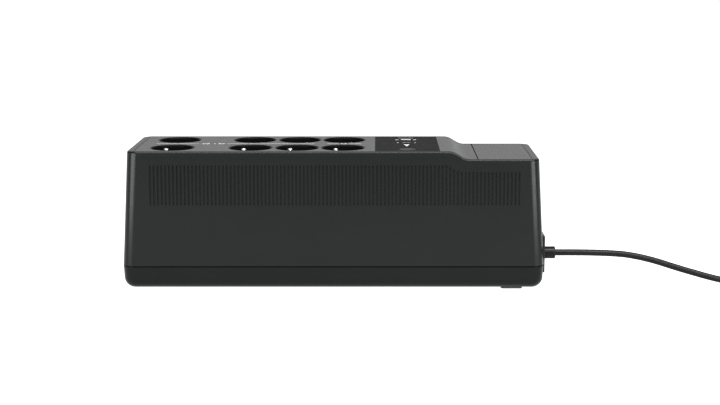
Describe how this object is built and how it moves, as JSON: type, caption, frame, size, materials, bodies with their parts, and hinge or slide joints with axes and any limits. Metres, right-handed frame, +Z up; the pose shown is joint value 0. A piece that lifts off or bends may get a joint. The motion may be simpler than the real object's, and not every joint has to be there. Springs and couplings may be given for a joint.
{
  "type": "uninterruptible power supply",
  "caption": "Low desk uninterruptible power supply: tapered dark housing on a base tray, two rows of type E outlets, round power button, stepped top, port panel and mains cord.",
  "frame": {"origin": "middle of the footprint, on the surface the feet stand on, mains cord left out", "axes": "+Z up, +X along the length towards the mains cord, +Y away from the front"},
  "size_m": [0.6971, 0.1894, 0.1313],
  "materials": {
    "housing": "fine moulded texture, near-black",
    "base": "fine moulded texture, near-black",
    "deck": "fine textured dark grey",
    "panel": "smooth dark grey with printed marks",
    "button": "smooth dark grey",
    "outlet": "black",
    "shutter": "black",
    "pin_metal": "nickel plated",
    "ports": "textured black",
    "cord": "black flexible sheath",
    "tie": "black",
    "plug": "black moulded",
    "battery": "grey case",
    "tin": "tinned",
    "lead_wire": "insulated wire",
    "brass": "plain strip",
    "spring_steel": "drawn wire",
    "circuit_board": "green solder mask",
    "component": "moulded black",
    "jack_plastic": "black",
    "port_metal": "plated shell",
    "reset_button": "black",
    "core_iron": "varnished laminations",
    "copper": "enamelled copper",
    "heat_sink": "extruded",
    "capacitor": "sleeved can",
    "relay": "moulded blue",
    "rubber": "soft pad",
    "screw_steel": "zinc plated"
  },
  "bodies": {
    "housing": {"base_tray": "base", "battery": "battery", "battery_leads": "lead_wire", "battery_terminals": "tin", "breaker_body": "component", "bus_bars": "brass", "capacitors": "capacitor", "case_screws": "screw_steel", "control_panel": "panel", "cord_coil": "cord", "cord_gland": "cord", "cord_lead": "cord", "cord_tail": "cord", "cord_tie": "tie", "data_line_jacks": "jack_plastic", "display_board": "circuit_board", "display_board_parts": "component", "earth_pin_1_front": "pin_metal", "earth_pin_2_front": "pin_metal", "earth_pin_3_front": "pin_metal", "earth_pin_4_front": "pin_metal", "earth_pin_5_back": "pin_metal", "earth_pin_6_back": "pin_metal", "earth_pin_7_back": "pin_metal", "earth_pin_8_back": "pin_metal", "heat_sink": "heat_sink", "label_plate": "deck", "main_board": "circuit_board", "mains_plug": "plug", "mains_plug_pins": "pin_metal", "outlet_cup_1_front": "outlet", "outlet_cup_2_front": "outlet", "outlet_cup_3_front": "outlet", "outlet_cup_4_front": "outlet", "outlet_cup_5_back": "outlet", "outlet_cup_6_back": "outlet", "outlet_cup_7_back": "outlet", "outlet_cup_8_back": "outlet", "outlet_deck": "deck", "port_panel": "ports", "power_button_spring": "spring_steel", "power_transistors": "component", "rubber_feet": "rubber", "transfer_relays": "relay", "transformer_core": "core_iron", "transformer_winding": "copper", "upper_housing": "housing", "usb_charger_board": "circuit_board", "usb_charging_ports": "port_metal"},
    "power_button": {"power_button": "button"},
    "breaker_reset_button": {"breaker_reset_button": "reset_button"},
    "battery_door": {"battery_door": "base"},
    "shutter_1_front": {"shutter_1_front": "shutter"},
    "shutter_2_front": {"shutter_2_front": "shutter"},
    "shutter_3_front": {"shutter_3_front": "shutter"},
    "shutter_4_front": {"shutter_4_front": "shutter"},
    "shutter_5_back": {"shutter_5_back": "shutter"},
    "shutter_6_back": {"shutter_6_back": "shutter"},
    "shutter_7_back": {"shutter_7_back": "shutter"},
    "shutter_8_back": {"shutter_8_back": "shutter"}
  },
  "joints": [
    {"name": "power_button_press", "type": "slide", "parent": "housing", "child": "power_button", "axis": [0, 0, -1], "range_m": [0, 0.0012], "stiffness_N_per_m": 800, "springref_m": -0.001, "deforming": ["power_button_spring"]},
    {"name": "breaker_trip", "type": "slide", "parent": "housing", "child": "breaker_reset_button", "axis": [1, 0, 0], "range_m": [0, 0.004]},
    {"name": "battery_door_slide", "type": "slide", "parent": "housing", "child": "battery_door", "axis": [-1, 0, 0], "range_m": [0, 0.03]},
    {"name": "shutter_slide_1_front", "type": "slide", "parent": "housing", "child": "shutter_1_front", "axis": [0.7071, -0.7071, 0], "range_m": [0, 0.0065], "stiffness_N_per_m": 150, "springref_m": -0.004},
    {"name": "shutter_slide_2_front", "type": "slide", "parent": "housing", "child": "shutter_2_front", "axis": [0.7071, -0.7071, 0], "range_m": [0, 0.0065], "stiffness_N_per_m": 150, "springref_m": -0.004},
    {"name": "shutter_slide_3_front", "type": "slide", "parent": "housing", "child": "shutter_3_front", "axis": [0.7071, -0.7071, 0], "range_m": [0, 0.0065], "stiffness_N_per_m": 150, "springref_m": -0.004},
    {"name": "shutter_slide_4_front", "type": "slide", "parent": "housing", "child": "shutter_4_front", "axis": [0.7071, -0.7071, 0], "range_m": [0, 0.0065], "stiffness_N_per_m": 150, "springref_m": -0.004},
    {"name": "shutter_slide_5_back", "type": "slide", "parent": "housing", "child": "shutter_5_back", "axis": [-0.7071, 0.7071, 0], "range_m": [0, 0.0065], "stiffness_N_per_m": 150, "springref_m": -0.004},
    {"name": "shutter_slide_6_back", "type": "slide", "parent": "housing", "child": "shutter_6_back", "axis": [-0.7071, 0.7071, 0], "range_m": [0, 0.0065], "stiffness_N_per_m": 150, "springref_m": -0.004},
    {"name": "shutter_slide_7_back", "type": "slide", "parent": "housing", "child": "shutter_7_back", "axis": [-0.7071, 0.7071, 0], "range_m": [0, 0.0065], "stiffness_N_per_m": 150, "springref_m": -0.004},
    {"name": "shutter_slide_8_back", "type": "slide", "parent": "housing", "child": "shutter_8_back", "axis": [-0.7071, 0.7071, 0], "range_m": [0, 0.0065], "stiffness_N_per_m": 150, "springref_m": -0.004}
  ]
}
